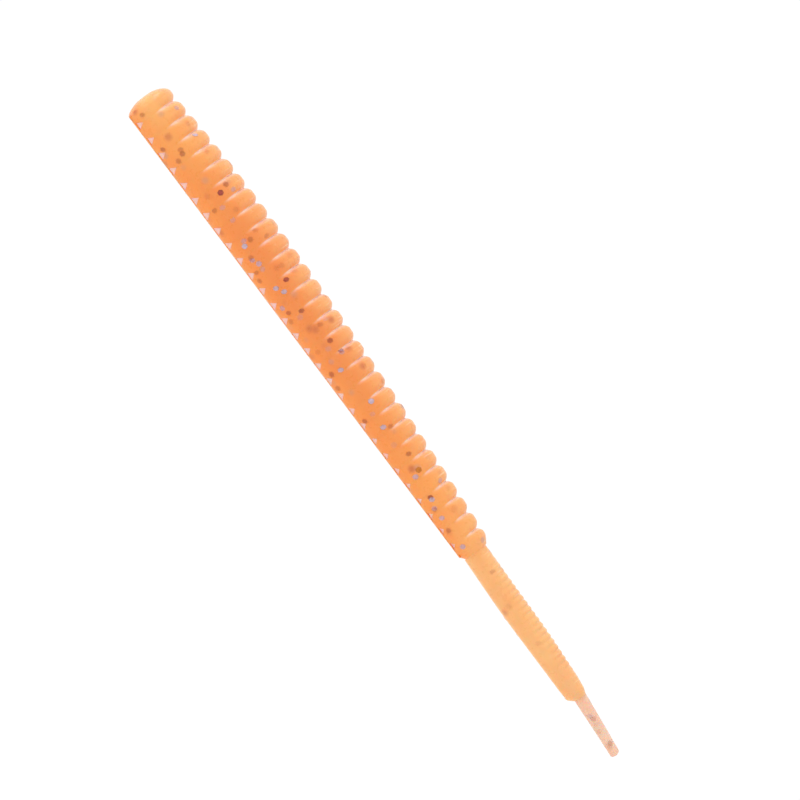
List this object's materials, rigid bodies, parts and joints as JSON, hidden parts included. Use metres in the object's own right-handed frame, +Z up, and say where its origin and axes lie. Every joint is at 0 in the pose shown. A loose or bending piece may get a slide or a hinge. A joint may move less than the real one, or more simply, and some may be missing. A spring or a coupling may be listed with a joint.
{
  "type": "soft plastic worm",
  "caption": "Small soft plastic fishing worm with a ribbed flat-bellied body, a fine-ringed stem and a thin pin tail; bends up, down and sideways along its whole length.",
  "frame": {"origin": "on the belly plane, under the middle of the worm's length and width", "axes": "+X along the worm from head to tail, +Z up from the flat belly to the rounded back, Y across"},
  "size_m": [0.0508, 0.0036, 0.0034],
  "materials": {
    "body_plastic": "glossy translucent orange soft plastic with small glitter flakes",
    "stem_plastic": "glossy translucent light orange soft plastic",
    "tip_plastic": "glossy translucent pale pinkish orange soft plastic",
    "dark_flake": "tiny dark purple-brown metallic flakes set in the plastic",
    "silver_flake": "tiny silver metallic flakes set in the plastic",
    "copper_flake": "tiny copper metallic flakes set in the plastic"
  },
  "bodies": {
    "rib_01": {"rib_01": "body_plastic"},
    "rib_02": {"rib_02": "body_plastic"},
    "rib_03": {"rib_03": "body_plastic"},
    "rib_04": {"rib_04": "body_plastic"},
    "rib_05": {"rib_05": "body_plastic"},
    "rib_06": {"rib_06": "body_plastic"},
    "rib_07": {"rib_07": "body_plastic"},
    "rib_08": {"rib_08": "body_plastic"},
    "rib_09": {"rib_09": "body_plastic"},
    "rib_10": {"rib_10": "body_plastic"},
    "rib_11": {"rib_11": "body_plastic"},
    "rib_12": {"rib_12": "body_plastic"},
    "rib_13": {"rib_13": "body_plastic"},
    "rib_14": {"rib_14": "body_plastic"},
    "rib_15": {"rib_15": "body_plastic"},
    "rib_16": {"rib_16": "body_plastic"},
    "rib_17": {"rib_17": "body_plastic"},
    "rib_18": {"rib_18": "body_plastic"},
    "rib_19": {"rib_19": "body_plastic"},
    "rib_20": {"rib_20": "body_plastic"},
    "rib_21": {"rib_21": "body_plastic"},
    "rib_22": {"rib_22": "body_plastic"},
    "rib_23": {"rib_23": "body_plastic"},
    "rib_24": {"rib_24": "body_plastic"},
    "rib_25": {"rib_25": "body_plastic"},
    "rib_26": {"rib_26": "body_plastic"},
    "rib_27": {"rib_27": "body_plastic"},
    "rib_28": {"rib_28": "body_plastic"},
    "rib_29": {"rib_29": "body_plastic"},
    "rib_30": {"rib_30": "body_plastic"},
    "stem_01": {"stem_01": "stem_plastic"},
    "stem_02": {"stem_02": "stem_plastic"},
    "stem_03": {"stem_03": "stem_plastic"},
    "stem_04": {"stem_04": "stem_plastic"},
    "stem_05": {"stem_05": "stem_plastic"},
    "stem_06": {"stem_06": "stem_plastic"},
    "stem_07": {"stem_07": "stem_plastic"},
    "stem_08": {"stem_08": "stem_plastic"},
    "stem_end": {"stem_end": "stem_plastic"},
    "tip_root": {"tip_root": "tip_plastic"},
    "tip_end": {"tip_end": "tip_plastic"}
  },
  "joints": [
    {"name": "rib_02_lift", "type": "hinge", "parent": "rib_01", "child": "rib_02", "pos_m": [-0.0241, 0, 0.00155], "axis": [0.001, -1, 0.001], "range_deg": [-6, 6], "stiffness_Nm_per_rad": 0.0000827},
    {"name": "rib_03_swing", "type": "hinge", "parent": "rib_02", "child": "rib_03", "pos_m": [-0.02293, 0, 0.00159], "axis": [0.001, 0.001, 1], "range_deg": [-6, 6], "stiffness_Nm_per_rad": 0.0000941},
    {"name": "rib_04_lift", "type": "hinge", "parent": "rib_03", "child": "rib_04", "pos_m": [-0.02176, 0, 0.00163], "axis": [0.001, -1, 0.001], "range_deg": [-6, 6], "stiffness_Nm_per_rad": 0.000105},
    {"name": "rib_05_swing", "type": "hinge", "parent": "rib_04", "child": "rib_05", "pos_m": [-0.02058, 0, 0.00166], "axis": [0.001, 0.001, 1], "range_deg": [-6, 6], "stiffness_Nm_per_rad": 0.000114},
    {"name": "rib_06_lift", "type": "hinge", "parent": "rib_05", "child": "rib_06", "pos_m": [-0.01941, 0, 0.00168], "axis": [0.001, -1, 0.001], "range_deg": [-6, 6], "stiffness_Nm_per_rad": 0.000122},
    {"name": "rib_07_swing", "type": "hinge", "parent": "rib_06", "child": "rib_07", "pos_m": [-0.01824, 0, 0.0017], "axis": [0.001, 0.001, 1], "range_deg": [-6, 6], "stiffness_Nm_per_rad": 0.000128},
    {"name": "rib_08_lift", "type": "hinge", "parent": "rib_07", "child": "rib_08", "pos_m": [-0.01707, 0, 0.00171], "axis": [0.001, -1, 0.001], "range_deg": [-6, 6], "stiffness_Nm_per_rad": 0.000131},
    {"name": "rib_09_swing", "type": "hinge", "parent": "rib_08", "child": "rib_09", "pos_m": [-0.01589, 0, 0.00171], "axis": [0.001, 0.001, 1], "range_deg": [-6, 6], "stiffness_Nm_per_rad": 0.000132},
    {"name": "rib_10_lift", "type": "hinge", "parent": "rib_09", "child": "rib_10", "pos_m": [-0.01472, 0, 0.00171], "axis": [0.001, -1, 0.001], "range_deg": [-6, 6], "stiffness_Nm_per_rad": 0.000131},
    {"name": "rib_11_swing", "type": "hinge", "parent": "rib_10", "child": "rib_11", "pos_m": [-0.01355, 0, 0.0017], "axis": [0.001, 0.001, 1], "range_deg": [-6, 6], "stiffness_Nm_per_rad": 0.000128},
    {"name": "rib_12_lift", "type": "hinge", "parent": "rib_11", "child": "rib_12", "pos_m": [-0.01238, 0, 0.00169], "axis": [0.001, -1, 0.001], "range_deg": [-6, 6], "stiffness_Nm_per_rad": 0.000124},
    {"name": "rib_13_swing", "type": "hinge", "parent": "rib_12", "child": "rib_13", "pos_m": [-0.0112, 0, 0.00167], "axis": [0.001, 0.001, 1], "range_deg": [-6, 6], "stiffness_Nm_per_rad": 0.000119},
    {"name": "rib_14_lift", "type": "hinge", "parent": "rib_13", "child": "rib_14", "pos_m": [-0.01003, 0, 0.00166], "axis": [0.001, -1, 0.001], "range_deg": [-6, 6], "stiffness_Nm_per_rad": 0.000113},
    {"name": "rib_15_swing", "type": "hinge", "parent": "rib_14", "child": "rib_15", "pos_m": [-0.00886, 0, 0.00164], "axis": [0.001, 0.001, 1], "range_deg": [-6, 6], "stiffness_Nm_per_rad": 0.000107},
    {"name": "rib_16_lift", "type": "hinge", "parent": "rib_15", "child": "rib_16", "pos_m": [-0.00769, 0, 0.00162], "axis": [0.001, -1, 0.001], "range_deg": [-6, 6], "stiffness_Nm_per_rad": 0.0001},
    {"name": "rib_17_swing", "type": "hinge", "parent": "rib_16", "child": "rib_17", "pos_m": [-0.00651, 0, 0.00159], "axis": [0.001, 0.001, 1], "range_deg": [-6, 6], "stiffness_Nm_per_rad": 0.0000932},
    {"name": "rib_18_lift", "type": "hinge", "parent": "rib_17", "child": "rib_18", "pos_m": [-0.00534, 0, 0.00157], "axis": [0.001, -1, 0.001], "range_deg": [-6, 6], "stiffness_Nm_per_rad": 0.0000861},
    {"name": "rib_19_swing", "type": "hinge", "parent": "rib_18", "child": "rib_19", "pos_m": [-0.00417, 0, 0.00154], "axis": [0.001, 0.001, 1], "range_deg": [-6, 6], "stiffness_Nm_per_rad": 0.0000789},
    {"name": "rib_20_lift", "type": "hinge", "parent": "rib_19", "child": "rib_20", "pos_m": [-0.003, 0, 0.00151], "axis": [0.001, -1, 0.001], "range_deg": [-6, 6], "stiffness_Nm_per_rad": 0.0000717},
    {"name": "rib_21_swing", "type": "hinge", "parent": "rib_20", "child": "rib_21", "pos_m": [-0.00182, 0, 0.00148], "axis": [0.001, 0.001, 1], "range_deg": [-6, 6], "stiffness_Nm_per_rad": 0.0000646},
    {"name": "rib_22_lift", "type": "hinge", "parent": "rib_21", "child": "rib_22", "pos_m": [-0.00065, 0, 0.00145], "axis": [0.001, -1, 0.001], "range_deg": [-6, 6], "stiffness_Nm_per_rad": 0.0000577},
    {"name": "rib_23_swing", "type": "hinge", "parent": "rib_22", "child": "rib_23", "pos_m": [0.00052, 0, 0.00141], "axis": [0.001, 0.001, 1], "range_deg": [-6, 6], "stiffness_Nm_per_rad": 0.0000511},
    {"name": "rib_24_lift", "type": "hinge", "parent": "rib_23", "child": "rib_24", "pos_m": [0.00169, 0, 0.00138], "axis": [0.001, -1, 0.001], "range_deg": [-6, 6], "stiffness_Nm_per_rad": 0.0000448},
    {"name": "rib_25_swing", "type": "hinge", "parent": "rib_24", "child": "rib_25", "pos_m": [0.00287, 0, 0.00134], "axis": [0.001, 0.001, 1], "range_deg": [-6, 6], "stiffness_Nm_per_rad": 0.0000388},
    {"name": "rib_26_lift", "type": "hinge", "parent": "rib_25", "child": "rib_26", "pos_m": [0.00404, 0, 0.0013], "axis": [0.001, -1, 0.001], "range_deg": [-6, 6], "stiffness_Nm_per_rad": 0.0000333},
    {"name": "rib_27_swing", "type": "hinge", "parent": "rib_26", "child": "rib_27", "pos_m": [0.00521, 0, 0.00126], "axis": [0.001, 0.001, 1], "range_deg": [-6, 6], "stiffness_Nm_per_rad": 0.0000282},
    {"name": "rib_28_lift", "type": "hinge", "parent": "rib_27", "child": "rib_28", "pos_m": [0.00638, 0, 0.00122], "axis": [0.001, -1, 0.001], "range_deg": [-6, 6], "stiffness_Nm_per_rad": 0.0000235},
    {"name": "rib_29_swing", "type": "hinge", "parent": "rib_28", "child": "rib_29", "pos_m": [0.00756, 0, 0.00117], "axis": [0.001, 0.001, 1], "range_deg": [-6, 6], "stiffness_Nm_per_rad": 0.0000193},
    {"name": "rib_30_lift", "type": "hinge", "parent": "rib_29", "child": "rib_30", "pos_m": [0.00873, 0, 0.00113], "axis": [0.001, -1, 0.001], "range_deg": [-6, 6], "stiffness_Nm_per_rad": 0.0000156},
    {"name": "stem_01_swing", "type": "hinge", "parent": "rib_30", "child": "stem_01", "pos_m": [0.0099, 0, 0.00101], "axis": [0.001, 0.001, 1], "range_deg": [-14, 14], "stiffness_Nm_per_rad": 0.0000104},
    {"name": "stem_02_lift", "type": "hinge", "parent": "stem_01", "child": "stem_02", "pos_m": [0.01116, 0, 0.00097], "axis": [0.001, -1, 0.001], "range_deg": [-14, 14], "stiffness_Nm_per_rad": 0.0000114},
    {"name": "stem_03_swing", "type": "hinge", "parent": "stem_02", "child": "stem_03", "pos_m": [0.01241, 0, 0.00093], "axis": [0.001, 0.001, 1], "range_deg": [-14, 14], "stiffness_Nm_per_rad": 0.0000124},
    {"name": "stem_04_lift", "type": "hinge", "parent": "stem_03", "child": "stem_04", "pos_m": [0.01367, 0, 0.00089], "axis": [0.001, -1, 0.001], "range_deg": [-14, 14], "stiffness_Nm_per_rad": 0.0000135},
    {"name": "stem_05_swing", "type": "hinge", "parent": "stem_04", "child": "stem_05", "pos_m": [0.01493, 0, 0.00087], "axis": [0.001, 0.001, 1], "range_deg": [-14, 14], "stiffness_Nm_per_rad": 0.000014},
    {"name": "stem_06_lift", "type": "hinge", "parent": "stem_05", "child": "stem_06", "pos_m": [0.01618, 0, 0.00085], "axis": [0.001, -1, 0.001], "range_deg": [-14, 14], "stiffness_Nm_per_rad": 0.0000131},
    {"name": "stem_07_swing", "type": "hinge", "parent": "stem_06", "child": "stem_07", "pos_m": [0.01744, 0, 0.00083], "axis": [0.001, 0.001, 1], "range_deg": [-14, 14], "stiffness_Nm_per_rad": 0.0000113},
    {"name": "stem_08_lift", "type": "hinge", "parent": "stem_07", "child": "stem_08", "pos_m": [0.01869, 0, 0.00078], "axis": [0.001, -1, 0.001], "range_deg": [-14, 14], "stiffness_Nm_per_rad": 0.00000892},
    {"name": "stem_end_swing", "type": "hinge", "parent": "stem_08", "child": "stem_end", "pos_m": [0.01995, 0, 0.00072], "axis": [0.001, 0.001, 1], "range_deg": [-14, 14], "stiffness_Nm_per_rad": 0.00000635},
    {"name": "tip_root_lift", "type": "hinge", "parent": "stem_end", "child": "tip_root", "pos_m": [0.02115, 0, 0.00084], "axis": [0.001, -1, 0.001], "range_deg": [-20, 20], "stiffness_Nm_per_rad": 0.000000171},
    {"name": "tip_end_swing", "type": "hinge", "parent": "tip_root", "child": "tip_end", "pos_m": [0.02328, 0, 0.00064], "axis": [0.001, 0.001, 1], "range_deg": [-20, 20], "stiffness_Nm_per_rad": 0.000000131}
  ],
  "couplings": [
    {"joint": "rib_04_lift", "follows": "rib_02_lift", "ratio": 1},
    {"joint": "rib_05_swing", "follows": "rib_03_swing", "ratio": 1},
    {"joint": "rib_06_lift", "follows": "rib_02_lift", "ratio": 1},
    {"joint": "rib_07_swing", "follows": "rib_03_swing", "ratio": 1},
    {"joint": "rib_08_lift", "follows": "rib_02_lift", "ratio": 1},
    {"joint": "rib_09_swing", "follows": "rib_03_swing", "ratio": 1},
    {"joint": "rib_10_lift", "follows": "rib_02_lift", "ratio": 1},
    {"joint": "rib_11_swing", "follows": "rib_03_swing", "ratio": 1},
    {"joint": "rib_12_lift", "follows": "rib_02_lift", "ratio": 1},
    {"joint": "rib_13_swing", "follows": "rib_03_swing", "ratio": 1},
    {"joint": "rib_14_lift", "follows": "rib_02_lift", "ratio": 1},
    {"joint": "rib_15_swing", "follows": "rib_03_swing", "ratio": 1},
    {"joint": "rib_16_lift", "follows": "rib_02_lift", "ratio": 1},
    {"joint": "rib_17_swing", "follows": "rib_03_swing", "ratio": 1},
    {"joint": "rib_18_lift", "follows": "rib_02_lift", "ratio": 1},
    {"joint": "rib_19_swing", "follows": "rib_03_swing", "ratio": 1},
    {"joint": "rib_20_lift", "follows": "rib_02_lift", "ratio": 1},
    {"joint": "rib_21_swing", "follows": "rib_03_swing", "ratio": 1},
    {"joint": "rib_22_lift", "follows": "rib_02_lift", "ratio": 1},
    {"joint": "rib_23_swing", "follows": "rib_03_swing", "ratio": 1},
    {"joint": "rib_24_lift", "follows": "rib_02_lift", "ratio": 1},
    {"joint": "rib_25_swing", "follows": "rib_03_swing", "ratio": 1},
    {"joint": "rib_26_lift", "follows": "rib_02_lift", "ratio": 1},
    {"joint": "rib_27_swing", "follows": "rib_03_swing", "ratio": 1},
    {"joint": "rib_28_lift", "follows": "rib_02_lift", "ratio": 1},
    {"joint": "rib_29_swing", "follows": "rib_03_swing", "ratio": 1},
    {"joint": "rib_30_lift", "follows": "rib_02_lift", "ratio": 1},
    {"joint": "stem_03_swing", "follows": "stem_01_swing", "ratio": 1},
    {"joint": "stem_04_lift", "follows": "stem_02_lift", "ratio": 1},
    {"joint": "stem_05_swing", "follows": "stem_01_swing", "ratio": 1},
    {"joint": "stem_06_lift", "follows": "stem_02_lift", "ratio": 1},
    {"joint": "stem_07_swing", "follows": "stem_01_swing", "ratio": 1},
    {"joint": "stem_08_lift", "follows": "stem_02_lift", "ratio": 1},
    {"joint": "stem_end_swing", "follows": "stem_01_swing", "ratio": 1},
    {"joint": "tip_root_lift", "follows": "stem_02_lift", "ratio": 1.4286},
    {"joint": "tip_end_swing", "follows": "stem_01_swing", "ratio": 1.4286}
  ]
}
